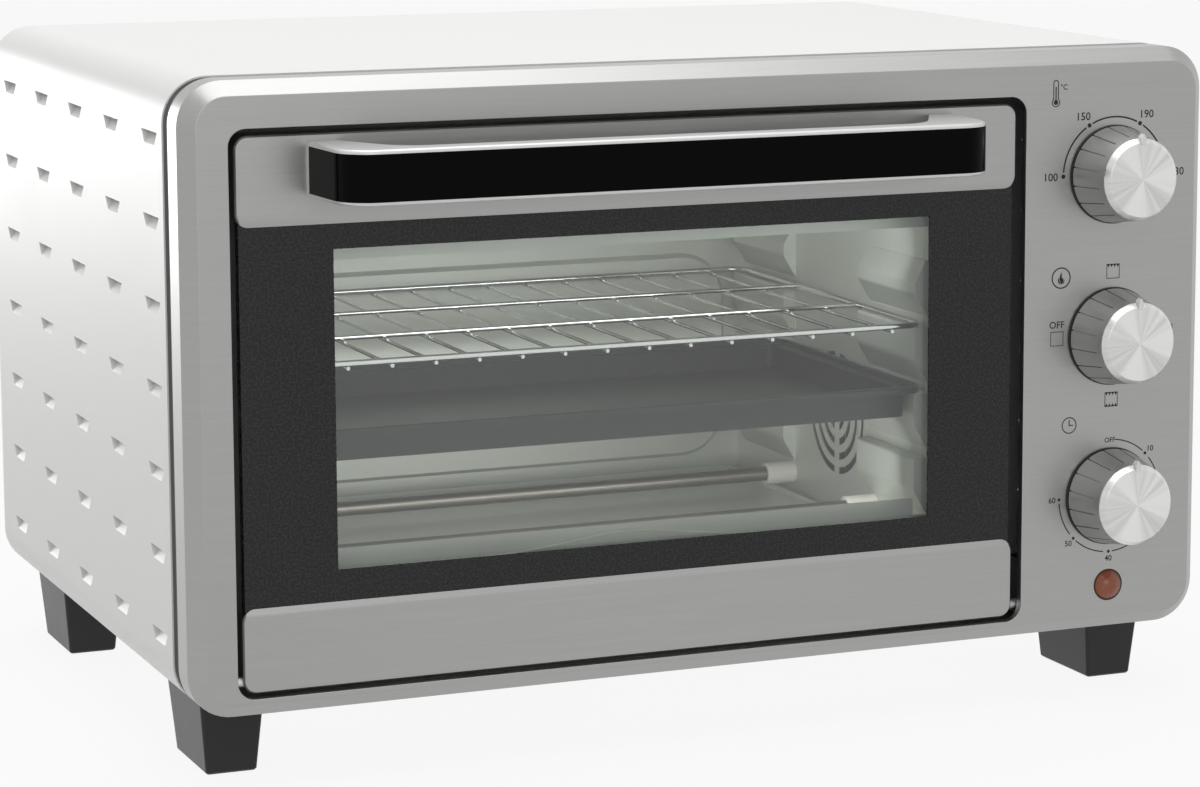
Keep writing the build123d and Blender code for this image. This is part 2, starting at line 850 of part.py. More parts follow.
def make_heating_rods():
    reach = grown((cavity_left, cavity_right), insulator_outside + rod_tail)
    rods = {}
    for level, height in zip(("lower", "upper"), rod_heights()):
        rods[f"{level}_heating_rods"] = Compound(children=[
            rod_along_x(rod_radius, reach, depth, height)
            for depth in (rod_front_depth, rod_back_depth)])
    return rods


def make_insulators():
    x = (cavity_right - insulator_inside, cavity_right + insulator_outside)
    caps = []
    for height in rod_heights():
        for depth in (rod_front_depth, rod_back_depth):
            cap = rod_along_x(insulator_radius, x, depth, height)
            cap += rod_along_x(
                insulator_radius + 2, (cavity_right + cavity_sheet, cavity_right + cavity_sheet + 3),
                depth, height)
            cap -= rod_along_x(rod_radius + slip_fit, grown(x, 1), depth, height)
            caps += [cap, across_door(cap)]
    return Compound(children=[solid for cap in caps for solid in cap.solids()])


# Convection fan

def fan_back():
    return cavity_right + cavity_sheet + fan_housing_depth


def make_fan_housing():
    x = (cavity_right + cavity_sheet, fan_back())
    cup = rod_along_x(fan_housing_radius, x, vent_depth, vent_height)
    cup -= rod_along_x(
        fan_housing_radius - cavity_sheet, (x[0] - 1, x[1] - cavity_sheet), vent_depth, vent_height)
    return cup - rod_along_x(fan_shaft_radius + 1, grown(x, 1), vent_depth, vent_height)


def make_fan_wheel():
    x = (fan_back() - cavity_sheet - 1.5 - fan_wheel_width, fan_back() - cavity_sheet - 1.5)
    wheel = rod_along_x(fan_wheel_radius, (x[1] - 1, x[1]), vent_depth, vent_height)
    wheel += rod_along_x(fan_shaft_radius + 3, x, vent_depth, vent_height)
    blade = block(x, (fan_shaft_radius + 2, fan_wheel_radius - 0.5), (-0.5, 0.5))
    for turn in range(fan_blades):
        wheel += Pos(0, vent_depth, vent_height) * Rot(turn * 360 / fan_blades, 0, 0) * blade
    return wheel - rod_along_x(fan_shaft_radius + slip_fit, grown(x, 1), vent_depth, vent_height)


def make_fan_shaft():
    x = (fan_back() - cavity_sheet - 1.5 - fan_wheel_width, fan_back() + 18)
    return rod_along_x(fan_shaft_radius, x, vent_depth, vent_height)


def make_fan_motor():
    x = (fan_back(), fan_back() + motor_length)
    motor = rod_along_x(motor_radius, x, vent_depth, vent_height)
    motor += rod_along_x(motor_radius / 2, (x[0], x[1] + 4), vent_depth, vent_height)
    return motor - rod_along_x(
        fan_shaft_radius + fan_shaft_fit, (x[0] - 1, x[0] + 19), vent_depth, vent_height)


# Rack and tray

def make_wire_rack():
    x = grown((cavity_left, cavity_right), -rack_side_play)
    height = first_shelf - rail_pitch + running_gap + rack_wire
    loop_x = grown(x, -rack_wire)
    loop_y = (rack_front + rack_wire, rack_back - rack_wire)
    loop = Pos(open_centre, (loop_y[0] + loop_y[1]) / 2, height) * RectangleRounded(
        loop_x[1] - loop_x[0], loop_y[1] - loop_y[0], rack_corner)
    path = loop.wire()
    rack = sweep(Plane(origin=path @ 0, z_dir=path % 0) * Circle(rack_wire), path=path)
    bars = []
    for share in (1 / 3, 2 / 3):
        depth = rack_front + share * (rack_back - rack_front)
        bars.append(rod_along_x(rack_cross_bar, loop_x, depth, height))
    under = height - rack_wire - rack_rod + weld_bite
    for index in range(rack_rod_count):
        place = open_centre + (index - (rack_rod_count - 1) / 2) * rack_rod_pitch
        bars.append(rod_along_y(rack_rod, place, (rack_front, rack_back), under))
    return rack + bars


def make_baking_tray():
    x = grown((cavity_left, cavity_right), -tray_side_play)
    y = (tray_front, tray_back)
    seat = first_shelf - 2 * rail_pitch + running_gap
    z = (seat - tray_depth, seat + tray_sheet)
    rim = block(x, y, (seat, seat + tray_sheet))
    rim = fillet(rim.edges().filter_by(Axis.Z), tray_corner)
    bead = block(x, y, (seat, seat + tray_bead))
    bead = fillet(bead.edges().filter_by(Axis.Z), tray_corner)
    bead = fillet(bead.edges(), tray_bead * 0.35)
    inside = block(grown(x, -tray_bead), grown(y, -tray_bead), (seat - 1, seat + tray_bead + 1))
    bead -= fillet(inside.edges().filter_by(Axis.Z), tray_corner - tray_bead)
    pan_x = grown(x, -tray_rim)
    pan_y = grown(y, -tray_rim + 2)
    pan = block(pan_x, pan_y, z)
    pan = fillet(pan.edges().filter_by(Axis.Z), tray_pan_corner)
    hollow = block(grown(pan_x, -tray_sheet), grown(pan_y, -tray_sheet), (z[0] + tray_sheet, z[1] + 1))
    hollow = fillet(hollow.edges().filter_by(Axis.Z), tray_pan_corner - tray_sheet)
    return rim + bead + pan - hollow


# Controls

def make_knob(height):
    base = Pos(knob_x, -knob_lift, height) * Rot(90, 0, 0)
    seated = (Align.CENTER, Align.CENTER, Align.MIN)
    skirt = base * Cone(knob_radius, knob_top_radius, knob_length, align=seated)
    hollow = base * Cone(
        knob_radius - knob_wall, knob_top_radius - knob_wall, knob_length - knob_wall, align=seated)
    hub = base * Cylinder(knob_hub, knob_length - knob_wall, align=seated)
    bore = base * Cylinder(shaft_radius + shaft_fit, shaft_in_knob, align=seated)
    bore -= base * Pos(0, shaft_flat + shaft_fit + shaft_radius, 0) * Box(
        2 * knob_hub, 2 * shaft_radius, 3 * shaft_in_knob)
    lean = degrees(atan2(knob_radius - knob_top_radius, knob_length))
    groove = Box(knob_groove, 2 * knob_groove, 2 * (knob_length - knob_plain_lip))
    grooves = [
        base * Rot(0, 0, (turn + 0.5) * 360 / knob_grooves) * Pos(0, knob_radius, 0) * Rot(lean, 0, 0) * groove
        for turn in range(knob_grooves)]
    return skirt - hollow + hub - bore - grooves


def knob_disc(height, spare, rim_depth):
    seated = (Align.CENTER, Align.CENTER, Align.MIN)
    shoulder = -knob_lift - knob_length - face_thickness + face_bevel_depth
    rim = rod_along_y(knob_top_radius + spare, knob_x, (shoulder, shoulder + rim_depth), height)
    bevel = Cone(
        knob_top_radius + spare, knob_top_radius + spare - face_bevel, face_bevel_depth, align=seated)
    return rim + Pos(knob_x, shoulder, height) * Rot(90, 0, 0) * bevel


def make_knob_face(height):
    return knob_disc(height, 0, face_thickness - face_bevel_depth)


def make_knob_pointer(height):
    front = -knob_lift - knob_length - face_thickness
    tip = height + knob_top_radius + pointer_stand
    shoulder = tip - pointer_tip
    half = pointer_width / 2
    arrow = make_face(Polyline(
        (knob_x - half, tip - pointer_length), (knob_x + half, tip - pointer_length),
        (knob_x + half, shoulder), (knob_x, tip), (knob_x - half, shoulder), close=True))
    pointer = Pos(0, front + face_thickness, 0) * extrude(
        Plane.XZ * arrow, face_thickness + pointer_proud)
    pointer -= knob_disc(height, slip_fit, 2 * face_thickness)
    return max(pointer.solids(), key=lambda solid: solid.volume)


def make_knob_washers():
    rings = []
    for height in knob_heights.values():
        ring = rod_along_y(washer_radius, knob_x, (-washer_thickness, 0), height)
        rings.append(ring - rod_along_y(washer_radius - 4, knob_x, (-5, 1), height))
    return Compound(children=[solid for ring in rings for solid in ring.solids()])


def make_control_shaft(height):
    tip = -knob_lift - shaft_in_knob + 0.5
    shaft = rod_along_y(shaft_radius, knob_x, (tip, bezel_wall + shaft_in_body), height)
    return shaft - block(
        grown((knob_x, knob_x), shaft_radius), (tip - 1, -knob_lift),
        (height + shaft_flat, height + 2 * shaft_radius))


def with_shaft_bore(shape, height):
    return shape - rod_along_y(
        shaft_radius + shaft_fit, knob_x, (0, bezel_wall + shaft_in_body + 1), height)


def make_thermostat():
    height = knob_heights["temperature"]
    neck = rod_along_y(thermostat_radius, knob_x, (bezel_wall, bezel_wall + 12), height)
    side = thermostat_radius - 1
    case = block(
        (knob_x - side, knob_x + side), (bezel_wall + 12, bezel_wall + thermostat_length),
        (height - side, height + side))
    return with_shaft_bore(neck + case, height)


def make_mode_switch():
    height = knob_heights["mode"]
    half = switch_side / 2
    case = block(
        (knob_x - half, knob_x + half), (bezel_wall, bezel_wall + switch_length),
        (height - half, height + half))
    tabs = [
        block((x - 0.4, x + 0.4), (bezel_wall + switch_length - 1, bezel_wall + switch_length + 8),
              (height - 3, height + 3))
        for x in (knob_x - 9, knob_x - 3, knob_x + 3, knob_x + 9)]
    return with_shaft_bore(case + tabs, height)


def make_timer():
    height = knob_heights["timer"]
    half = timer_side / 2
    case = block(
        (knob_x - half, knob_x + half), (bezel_wall, bezel_wall + timer_length),
        (height - half, height + half))
    case = fillet(case.edges().filter_by(Axis.Y), 4)
    back = bezel_wall + timer_length
    bell = rod_along_y(bell_radius, knob_x, (back, back + bell_depth), height)
    bell = fillet(bell.faces().sort_by(Axis.Y)[-1].edges(), bell_depth * 0.6)
    return with_shaft_bore(case + bell, height)


def make_lamp_lens():
    stem = rod_along_y(lamp_stem, knob_x, (0, bezel_wall + 4), lamp_height)
    dome_radius = (lamp_radius ** 2 + lamp_dome ** 2) / (2 * lamp_dome)
    ball = Pos(knob_x, dome_radius - lamp_dome, lamp_height) * Sphere(dome_radius)
    dome = ball & block((left, right), (-2 * lamp_dome, 0), (bottom, top))
    return stem + dome


def make_lamp_body():
    body = rod_along_y(lamp_body_radius, knob_x, (bezel_wall, bezel_wall + lamp_body_length), lamp_height)
    return body - rod_along_y(lamp_stem + slip_fit, knob_x, (0, bezel_wall + 4 + slip_fit), lamp_height)


# Back compartment

def make_heat_shield():
    x = (cavity_right + shield_offset, cavity_right + shield_offset + shield_sheet)
    y = (frame_flange_end + running_gap, body_depth - back_inset - shell_wall)
    z = (bottom + 2 * shell_wall + slip_fit, top - corner_radius)
    return block(x, y, z) - rod_along_x(motor_radius + 1, grown(x, 1), vent_depth, vent_height)


def make_terminal_block():
    x = right - terminal_side_inset
    z = bottom + 2 * shell_wall + slip_fit
    width, depth, height = terminal_size
    back = body_depth - terminal_back_inset
    terminal = block((x, x + width), (back - depth, back), (z, z + height))
    for index in (-1, 0, 1):
        terminal -= rod_along_z(
            terminal_screw_radius, x + width / 2 + terminal_pitch * index, back - depth / 2,
            (z + height / 2, z + height + 1))
    return terminal


def make_cord_gland():
    x = right - gland_inset
    z = bottom + gland_rise
    face = body_depth - back_inset
    gland = rod_along_y(gland_radius - slip_fit, x, (face - 8, face), z)
    gland += rod_along_y(gland_flange, x, (face, face + back_inset), z)
    gland += rod_along_y(gland_flange, x, (face - 8, face - shell_wall), z)
    return gland - rod_along_y(gland_bore, x, (face - 10, face + 3), z)


handle_solid, inlay_solid = make_handle_parts()

nodes = {
    "outer_shell": make_outer_shell(),
    "front_bezel": make_front_bezel(),
    "front_frame": make_front_frame(),
    "back_panel": make_back_panel(),
    "base_plate": make_base_plate(),
    "casing_screws": make_casing_screws(),
    "foot_front_left": make_foot(-1, True),
    "foot_front_right": make_foot(1, True),
    "foot_rear_left": make_foot(-1, False),
    "foot_rear_right": make_foot(1, False),
    "foot_screws": make_foot_screws(),
    "door_glass": make_door_glass(),
    "glass_border": make_glass_border(),
    "door_top_trim": make_door_top_trim(),
    "door_bottom_trim": make_door_bottom_trim(),
    "glass_clamps": make_glass_clamps(),
    "door_handle": handle_solid,
    "handle_inlay": inlay_solid,
    "handle_screws": make_handle_screws(),
    "hinge_arms": make_hinge_arms(),
    "hinge_pins": make_hinge_pins(),
    "hinge_brackets": make_hinge_brackets(),
    "door_springs": make_door_springs(),
    "cavity_left_wall": make_left_wall(),
    "cavity_right_wall": make_right_wall(),
    "cavity_back_wall": make_back_wall(),
    "cavity_roof": make_cavity_roof(),
    "cavity_floor": make_cavity_floor(),
    "crumb_tray": make_crumb_tray(),
    "rod_insulators": make_insulators(),
    "fan_housing": make_fan_housing(),
    "fan_wheel": make_fan_wheel(),
    "fan_shaft": make_fan_shaft(),
    "fan_motor": make_fan_motor(),
    "wire_rack": make_wire_rack(),
    "baking_tray": make_baking_tray(),
    "knob_washers": make_knob_washers(),
    "thermostat": make_thermostat(),
    "mode_switch": make_mode_switch(),
    "timer": make_timer(),
    "lamp_lens": make_lamp_lens(),
    "lamp_body": make_lamp_body(),
    "heat_shield": make_heat_shield(),
    "terminal_block": make_terminal_block(),
    "cord_gland": make_cord_gland(),
}
nodes.update(make_heating_rods())
for name, height in knob_heights.items():
    nodes[f"{name}_knob"] = make_knob(height)
    nodes[f"{name}_knob_face"] = make_knob_face(height)
    nodes[f"{name}_knob_pointer"] = make_knob_pointer(height)
    nodes[f"{name}_shaft"] = make_control_shaft(height)

# The whole part is centred on its footprint, handle included, and stands on the worktop.
front_y = (handle_reach - body_depth) / 2
for name, solid in nodes.items():
    export_step(Pos(0, front_y, 0) * solid, f"parts/{name}.step")
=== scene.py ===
import json
import math

import bmesh
import bpy
from mathutils import Matrix, Vector

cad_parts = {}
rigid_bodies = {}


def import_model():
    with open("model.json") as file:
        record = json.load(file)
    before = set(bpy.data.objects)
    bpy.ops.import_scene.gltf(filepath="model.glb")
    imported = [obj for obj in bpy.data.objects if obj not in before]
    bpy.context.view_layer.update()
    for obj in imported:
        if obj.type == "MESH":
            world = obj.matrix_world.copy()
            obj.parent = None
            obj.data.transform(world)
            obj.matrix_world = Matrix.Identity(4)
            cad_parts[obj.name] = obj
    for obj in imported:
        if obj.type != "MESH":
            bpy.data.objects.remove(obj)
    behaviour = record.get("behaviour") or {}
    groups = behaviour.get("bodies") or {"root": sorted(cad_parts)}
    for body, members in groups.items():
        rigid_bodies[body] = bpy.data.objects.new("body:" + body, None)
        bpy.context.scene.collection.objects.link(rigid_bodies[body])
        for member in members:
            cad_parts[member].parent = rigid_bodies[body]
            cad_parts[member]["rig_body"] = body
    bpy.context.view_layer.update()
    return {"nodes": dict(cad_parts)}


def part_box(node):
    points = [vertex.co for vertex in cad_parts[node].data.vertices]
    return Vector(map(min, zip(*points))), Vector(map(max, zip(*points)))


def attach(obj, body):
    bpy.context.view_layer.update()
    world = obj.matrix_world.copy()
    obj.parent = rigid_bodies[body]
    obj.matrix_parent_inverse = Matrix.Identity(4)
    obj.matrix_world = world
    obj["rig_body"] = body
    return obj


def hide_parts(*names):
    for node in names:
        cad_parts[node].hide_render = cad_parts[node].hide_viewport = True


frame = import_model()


# Feet
# Four hollow feet moulded in black polypropylene, leaning out to the sides, one screw through each.
# The mould leaves a fine dull grain on them and rounds every edge.

def put(tree, kind, inputs=None, **settings):
    step = tree.nodes.new("ShaderNode" + kind)
    for setting, value in settings.items():
        setattr(step, setting, value)
    for socket, value in (inputs or {}).items():
        if isinstance(value, bpy.types.NodeSocket):
            tree.links.new(value, step.inputs[socket])
        else:
            step.inputs[socket].default_value = value
    return step


def compute(tree, operation, *values):
    return put(tree, "Math", dict(enumerate(values)), operation=operation).outputs[0]


def new_effect(name, amounts):
    effect = bpy.data.node_groups.new(name, "ShaderNodeTree")
    sockets = effect.interface
    sockets.new_socket("Vector", in_out="INPUT", socket_type="NodeSocketVector")
    sockets.new_socket("Colour", in_out="INPUT", socket_type="NodeSocketColor")
    for amount, value in amounts.items():
        socket = sockets.new_socket(amount, in_out="INPUT", socket_type="NodeSocketFloat")
        socket.default_value = value
    sockets.new_socket("Colour", in_out="OUTPUT", socket_type="NodeSocketColor")
    sockets.new_socket("Roughness", in_out="OUTPUT", socket_type="NodeSocketFloat")
    sockets.new_socket("Height", in_out="OUTPUT", socket_type="NodeSocketFloat")
    given = effect.nodes.new("NodeGroupInput").outputs
    result = effect.nodes.new("NodeGroupOutput").inputs
    return effect, given, result


def swing(tree, pattern, amount, middle):
    risen = compute(tree, "MULTIPLY_ADD", pattern, amount, middle)
    return compute(tree, "MULTIPLY_ADD", amount, -0.5, risen)


def noise(tree, vector, size, detail=2.0):
    if isinstance(size, bpy.types.NodeSocket):
        scale = compute(tree, "DIVIDE", 1000.0, size)
    else:
        scale = 1000.0 / size
    pattern = put(tree, "TexNoise", {"Vector": vector, "Scale": scale, "Detail": detail})
    return pattern.outputs["Fac"]


def blend(tree, first, first_share, second, second_share):
    scaled = compute(tree, "MULTIPLY", second, second_share)
    return compute(tree, "MULTIPLY_ADD", first, first_share, scaled)


def settle(tree, given, result, pattern, height):
    value = swing(tree, pattern, given["Contrast"], 1.0)
    tinted = put(tree, "HueSaturation", {"Color": given["Colour"], "Value": value}).outputs[0]
    roughness = swing(tree, pattern, given["Roughness change"], given["Roughness"])
    tree.links.new(tinted, result["Colour"])
    tree.links.new(roughness, result["Roughness"])
    tree.links.new(height, result["Height"])


moulded_grain, given, result = new_effect("moulded grain", {
    "Grain size": 0.7, "Roughness": 0.5, "Roughness change": 0.15, "Contrast": 0.3})
fine = noise(moulded_grain, given["Vector"], given["Grain size"])
broad = noise(moulded_grain, given["Vector"], 18.0)
settle(moulded_grain, given, result, blend(moulded_grain, broad, 0.259, fine, 0.74), fine)


def finish(name, effect, colour, amounts, bump, centre=(0, 0, 0), **plain):
    bump_strength, bump_height = bump
    material = bpy.data.materials.new(name)
    material.use_nodes = True
    tree = material.node_tree
    shader = tree.nodes["Principled BSDF"]
    place = put(tree, "TexCoord").outputs["Object"]
    from_centre = put(tree, "Mapping", {"Vector": place, "Location": [-value for value in centre]})
    given = {"Vector": from_centre.outputs[0], "Colour": (*colour, 1.0), **amounts}
    pattern = put(tree, "Group", given, node_tree=effect)
    relief = put(tree, "Bump", {
        "Strength": bump_strength, "Distance": bump_height / 1000,
        "Height": pattern.outputs["Height"]})
    tree.links.new(pattern.outputs["Colour"], shader.inputs["Base Color"])
    tree.links.new(pattern.outputs["Roughness"], shader.inputs["Roughness"])
    tree.links.new(relief.outputs[0], shader.inputs["Normal"])
    for socket, value in plain.items():
        shader.inputs[socket.replace("_", " ")].default_value = value
    return material


def stand_for(piece, node, material):
    piece.data.materials.clear()
    piece.data.materials.append(material)
    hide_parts(node)
    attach(piece, frame["nodes"][node]["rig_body"])


def new_object(name, data):
    holder = bpy.data.objects.new(name, data)
    bpy.context.scene.collection.objects.link(holder)
    return holder


def softened(name, node, radius, material, steps=2, least_corner=28):
    mesh = frame["nodes"][node].data.copy()
    mesh.name = name
    if "custom_normal" in mesh.attributes:
        mesh.attributes.remove(mesh.attributes["custom_normal"])
    piece = new_object(name, mesh)
    shape = bmesh.new()
    shape.from_mesh(mesh)
    seam_gap, flat_angle = 2e-6, math.radians(0.4)
    bmesh.ops.remove_doubles(shape, verts=shape.verts, dist=seam_gap)
    bmesh.ops.dissolve_limit(shape, angle_limit=flat_angle, verts=shape.verts, edges=shape.edges)
    corners = [
        edge for edge in shape.edges
        if edge.is_manifold and edge.calc_face_angle(0.0) > math.radians(least_corner)]
    bmesh.ops.bevel(
        shape, geom=corners, offset=radius, affect="EDGES", segments=steps, profile=0.5,
        material=-1, clamp_overlap=True)
    for face in shape.faces:
        face.smooth = True
    shape.to_mesh(mesh)
    shape.free()
    shading = piece.modifiers.new("shading", "WEIGHTED_NORMAL")
    shading.keep_sharp = False
    stand_for(piece, node, material)
    return piece


def dress(material, *names):
    for name in names:
        for slot in frame["nodes"][name].material_slots:
            slot.material = material


foot_black = finish(
    "black moulded foot", moulded_grain, (0.008, 0.008, 0.0085),
    {"Grain size": 0.5, "Roughness": 0.42, "Roughness change": 0.2, "Contrast": 0.5},
    bump=(0.35, 0.08), Specular_IOR_Level=0.4, Sheen_Weight=0.45, Sheen_Roughness=0.3)
for corner in ("front_left", "front_right", "rear_left", "rear_right"):
    softened(f"foot_moulding_{corner}", f"foot_{corner}", 0.0011, foot_black, steps=3)


# Foot screws
# Zinc-plated pan head screws with a cross recess, driven up through the feet into the base plate.
# The heads are cold formed, so their rims are round and the recess has sloping walls.

sheet_grain, given, result = new_effect("sheet grain", {
    "Grain size": 1.2, "Roughness": 0.4, "Roughness change": 0.2, "Contrast": 0.08})
fine = noise(sheet_grain, given["Vector"], given["Grain size"], 3.0)
smear = noise(sheet_grain, given["Vector"], 45.0, 3.0)
settle(sheet_grain, given, result, blend(sheet_grain, fine, 0.3, smear, 0.7), fine)

screw_steel = finish(
    "zinc-plated screw", sheet_grain, (0.5, 0.5, 0.5),
    {"Grain size": 0.4, "Roughness": 0.34, "Roughness change": 0.15, "Contrast": 0.12},
    bump=(0.15, 0.05), Metallic=1.0)


head_radius = 3.6
head_height = 2.2
shank_radius = 2.0


def cross_screw(shank_length):
    screw = bmesh.new()
    outline = [
        (0.0, head_height), (0.55 * head_radius, 0.97 * head_height),
        (0.86 * head_radius, 0.78 * head_height), (head_radius, 0.42 * head_height),
        (head_radius, 0.0), (shank_radius, 0.0), (shank_radius, 0.6 - shank_length),
        (0.6 * shank_radius, -shank_length), (0.0, -shank_length)]
    points = [screw.verts.new((x / 1000, 0, z / 1000)) for x, z in outline]
    edges = [screw.edges.new(pair) for pair in zip(points, points[1:])]
    bmesh.ops.spin(
        screw, geom=points + edges, axis=(0, 0, 1), cent=(0, 0, 0), angle=math.tau, steps=24,
        use_merge=True)
    bmesh.ops.remove_doubles(screw, verts=screw.verts, dist=1e-6)
    half = 0.13 * head_radius / 1000
    reach = 0.58 * head_radius / 1000
    recess_depth = 0.55 * head_height / 1000
    recess_taper = 0.82
    for normal in ((1, 0, 0), (0, 1, 0)):
        for side in (-half, half, -reach, reach):
            bmesh.ops.bisect_plane(
                screw, geom=screw.verts[:] + screw.edges[:] + screw.faces[:],
                plane_co=Vector(normal) * side, plane_no=normal)
    recess = []
    for face in screw.faces:
        middle = face.calc_center_median()
        near, far = sorted((abs(middle.x), abs(middle.y)))
        if middle.z > 0.4 * head_height / 1000 and near < half and far < reach:
            recess.append(face)
    pushed = bmesh.ops.extrude_face_region(screw, geom=recess)
    bmesh.ops.delete(screw, geom=recess, context="FACES")
    inner = [part for part in pushed["geom"] if isinstance(part, bmesh.types.BMVert)]
    bmesh.ops.translate(screw, verts=inner, vec=(0, 0, -recess_depth))
    bmesh.ops.scale(screw, verts=inner, vec=(recess_taper, recess_taper, 1.0))
    bmesh.ops.recalc_face_normals(screw, faces=screw.faces)
    for face in screw.faces:
        is_flat = abs(face.normal.z) >= 0.98
        face.smooth = not is_flat
    mesh = bpy.data.meshes.new("screw")
    screw.to_mesh(mesh)
    screw.free()
    return mesh


def placed_screws(name, node, screw, places):
    shape = bmesh.new()
    for place in places:
        kept = set(shape.verts)
        shape.from_mesh(screw)
        added = [point for point in shape.verts if point not in kept]
        bmesh.ops.transform(shape, matrix=place, verts=added)
    mesh = bpy.data.meshes.new(name)
    shape.to_mesh(mesh)
    shape.free()
    stand_for(new_object(name, mesh), node, screw_steel)


foot_screw_low, foot_screw_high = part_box("foot_screws")
shank_length = (foot_screw_high.z - foot_screw_low.z) * 1000 - head_height
seat_z = foot_screw_low.z + head_height / 1000
upside_down = Matrix.Rotation(math.pi, 4, "X")
places = []
for corner in ("front_left", "front_right", "rear_left", "rear_right"):
    low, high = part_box(f"foot_{corner}")
    of_this_foot = [
        point.co for point in frame["nodes"]["foot_screws"].data.vertices
        if low.x < point.co.x < high.x and low.y < point.co.y < high.y]
    middle = sum(of_this_foot, Vector()) / len(of_this_foot)
    places.append(Matrix.Translation((middle.x, middle.y, seat_z)) @ upside_down)
placed_screws("foot_cross_screws", "foot_screws", cross_screw(shank_length), places)


# Base plate
# A flat sheet of zinc-coated steel that closes the casing below, slotted so that warm air can rise.
# It rests on the shell's turned-in edges, and the foot screws hold both.

zinc_sheet = finish(
    "zinc-coated sheet", sheet_grain, (0.55, 0.56, 0.57),
    {"Grain size": 2.2, "Roughness": 0.4, "Roughness change": 0.25, "Contrast": 0.16},
    bump=(0.12, 0.05), Metallic=1.0)
dress(zinc_sheet, "base_plate")


# Outer shell
# One sheet of steel wrapped round both sides and the top, with rows of pressed louvres for cooling.
# Its white powder coat is satin, with a slight orange-peel relief.

powder_coat, given, result = new_effect("powder coat", {
    "Grain size": 1.6, "Roughness": 0.4, "Roughness change": 0.1, "Contrast": 0.03})
peel = noise(powder_coat, given["Vector"], given["Grain size"], 1.0)
drift = noise(powder_coat, given["Vector"], 70.0, 2.0)
settle(powder_coat, given, result, blend(powder_coat, drift, 0.6, peel, 0.4), peel)

white_coat = finish(
    "white powder coat", powder_coat, (0.85, 0.85, 0.835),
    {"Grain size": 1.5, "Roughness": 0.4, "Roughness change": 0.12, "Contrast": 0.03},
    bump=(0.18, 0.05))
dress(white_coat, "outer_shell")


# Inner front frame
# A steel ring just behind the bezel, which carries the cavity and the controls. From outside it
# shows only in the gap between the bezel and the shell, and its dark colour is painted shade that
# makes that gap read as a shadow line.

# Dark satin colour as painted shade for the gap between bezel and shell.
gap_shade_paint = finish(
    "dark satin paint", powder_coat, (0.22, 0.22, 0.222),
    {"Grain size": 1.1, "Roughness": 0.5, "Roughness change": 0.1, "Contrast": 0.08},
    bump=(0.15, 0.05))
dress(gap_shade_paint, "front_frame")


# Back panel
# A flanged steel sheet with three columns of cooling slots, coated like the shell and fixed to it
# with six cross-recessed screws. The cord leaves through a black nylon gland low on one side.

dress(white_coat, "back_panel")
back_low, back_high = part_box("casing_screws")
shank_length = (back_high.y - back_low.y) * 1000 - head_height
inset = head_radius / 1000
seat_y = back_high.y - head_height / 1000
head_back = Matrix.Rotation(-math.pi / 2, 4, "X")
places = []
for x in (inset - back_high.x, 0, back_high.x - inset):
    for z in (back_low.z + inset, back_high.z - inset):
        driven = Matrix.Rotation(0.4 + 1.3 * x + 2 * z, 4, "Z")
        places.append(Matrix.Translation((x, seat_y, z)) @ head_back @ driven)
placed_screws("casing_cross_screws", "casing_screws", cross_screw(shank_length), places)

gland_black = finish(
    "black nylon gland", moulded_grain, (0.02, 0.02, 0.021),
    {"Grain size": 0.9, "Roughness": 0.45, "Roughness change": 0.15, "Contrast": 0.3},
    bump=(0.2, 0.06))
softened("cord_gland_moulding", "cord_gland", 0.0006, gland_black, steps=3)


# Front bezel
# A drawn frame of stainless steel with bevelled edges, brushed from left to right. It goes round
# the door opening and carries the controls, and its rim folds back into the opening.

brushed_grain, given, result = new_effect("brushed grain", {
    "Grain size": 0.5, "Roughness": 0.35, "Roughness change": 0.2, "Contrast": 0.2})


def stretched(tree, vector, share):
    scale = (share, share, 1.0)
    return put(tree, "Mapping", {"Vector": vector, "Scale": scale}).outputs[0]


long_lines = stretched(brushed_grain, given["Vector"], 0.012)
short_lines = stretched(brushed_grain, given["Vector"], 0.04)
fine = noise(brushed_grain, long_lines, given["Grain size"], 4.0)
broken = noise(brushed_grain, short_lines, 3.0, 2.0)
settle(brushed_grain, given, result, blend(brushed_grain, broken, 0.25, fine, 0.75), fine)

brushed_steel = finish(
    "brushed stainless steel", brushed_grain, (0.36, 0.36, 0.352),
    {"Grain size": 0.45, "Roughness": 0.36, "Roughness change": 0.18, "Contrast": 0.2},
    bump=(0.12, 0.03), Metallic=1.0)
softened("brushed_bezel", "front_bezel", 0.0005, brushed_steel, least_corner=35)


# Cavity
# Spot-welded walls of aluminised steel. The side walls have pressed rails for the rack and the
# tray, the back wall a raised panel, and each heating rod enters through a ceramic bush.

cavity_sheet = finish(
    "aluminised sheet", sheet_grain, (0.66, 0.68, 0.63),
    {"Grain size": 2.6, "Roughness": 0.46, "Roughness change": 0.25, "Contrast": 0.14},
    bump=(0.15, 0.08), Metallic=0.45)
for wall in ("left_wall", "right_wall"):
    softened(f"cavity_{wall}_pressing", f"cavity_{wall}", 0.0004, cavity_sheet, least_corner=24)
dress(cavity_sheet, "cavity_back_wall", "cavity_roof", "cavity_floor")


# Crumb tray
# A shallow folded drawer of the same sheet under the lower rods. Its front lip has a hump for the
# fingers, and it slides out once the door is down.

softened("crumb_tray_pressing", "crumb_tray", 0.0003, cavity_sheet)


# Heating rods
# Four sheathed elements of stainless tube, browned by heat. Two lie above the floor and two under
# the roof, each end held in a bush of unglazed ceramic.

